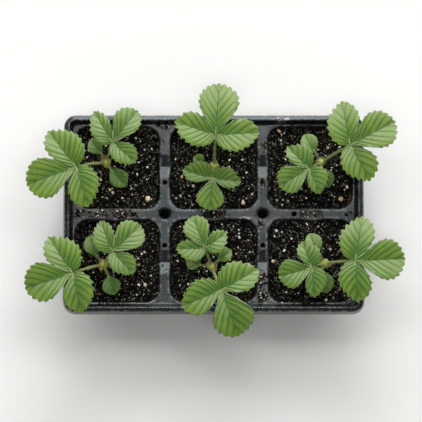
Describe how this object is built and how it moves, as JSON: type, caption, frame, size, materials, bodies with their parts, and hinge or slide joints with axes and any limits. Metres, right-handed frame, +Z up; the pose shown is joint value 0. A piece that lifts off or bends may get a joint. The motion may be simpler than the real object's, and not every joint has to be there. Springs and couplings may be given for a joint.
{
  "type": "strawberry seedling tray",
  "caption": "Young strawberry plants with toothed three-part leaves, growing in dark potting soil in a black plastic cell tray with a raised rim.",
  "frame": {"origin": "under the middle of the whole object's box, on the surface that the tray stands on", "axes": "+X along the tray's long side, to the right in the picture; +Y towards the back, upward in the picture; +Z up"},
  "size_m": [0.2368, 0.1586, 0.084],
  "materials": {
    "black_plastic": "satin",
    "potting_soil": "matte",
    "crown": "satin",
    "large_leaf": "satin",
    "mid_leaf": "satin",
    "young_leaf": "satin"
  },
  "bodies": {
    "root": {"tray": "black_plastic", "soil_back_left": "potting_soil", "crown_back_left": "crown", "large_leaf_back_left": "large_leaf", "mid_leaf_back_left": "mid_leaf", "young_leaf_1_back_left": "young_leaf", "young_leaf_2_back_left": "young_leaf", "soil_back_middle": "potting_soil", "crown_back_middle": "crown", "large_leaf_back_middle": "large_leaf", "mid_leaf_back_middle": "mid_leaf", "young_leaf_1_back_middle": "young_leaf", "soil_back_right": "potting_soil", "crown_back_right": "crown", "large_leaf_back_right": "large_leaf", "mid_leaf_back_right": "mid_leaf", "young_leaf_1_back_right": "young_leaf", "young_leaf_2_back_right": "young_leaf", "soil_front_left": "potting_soil", "crown_front_left": "crown", "large_leaf_front_left": "large_leaf", "mid_leaf_front_left": "mid_leaf", "young_leaf_1_front_left": "young_leaf", "young_leaf_2_front_left": "young_leaf", "soil_front_middle": "potting_soil", "crown_front_middle": "crown", "large_leaf_front_middle": "large_leaf", "mid_leaf_front_middle": "mid_leaf", "young_leaf_1_front_middle": "young_leaf", "young_leaf_2_front_middle": "young_leaf", "soil_front_right": "potting_soil", "crown_front_right": "crown", "large_leaf_front_right": "large_leaf", "mid_leaf_front_right": "mid_leaf", "young_leaf_1_front_right": "young_leaf", "young_leaf_2_front_right": "young_leaf"}
  },
  "joints": []
}
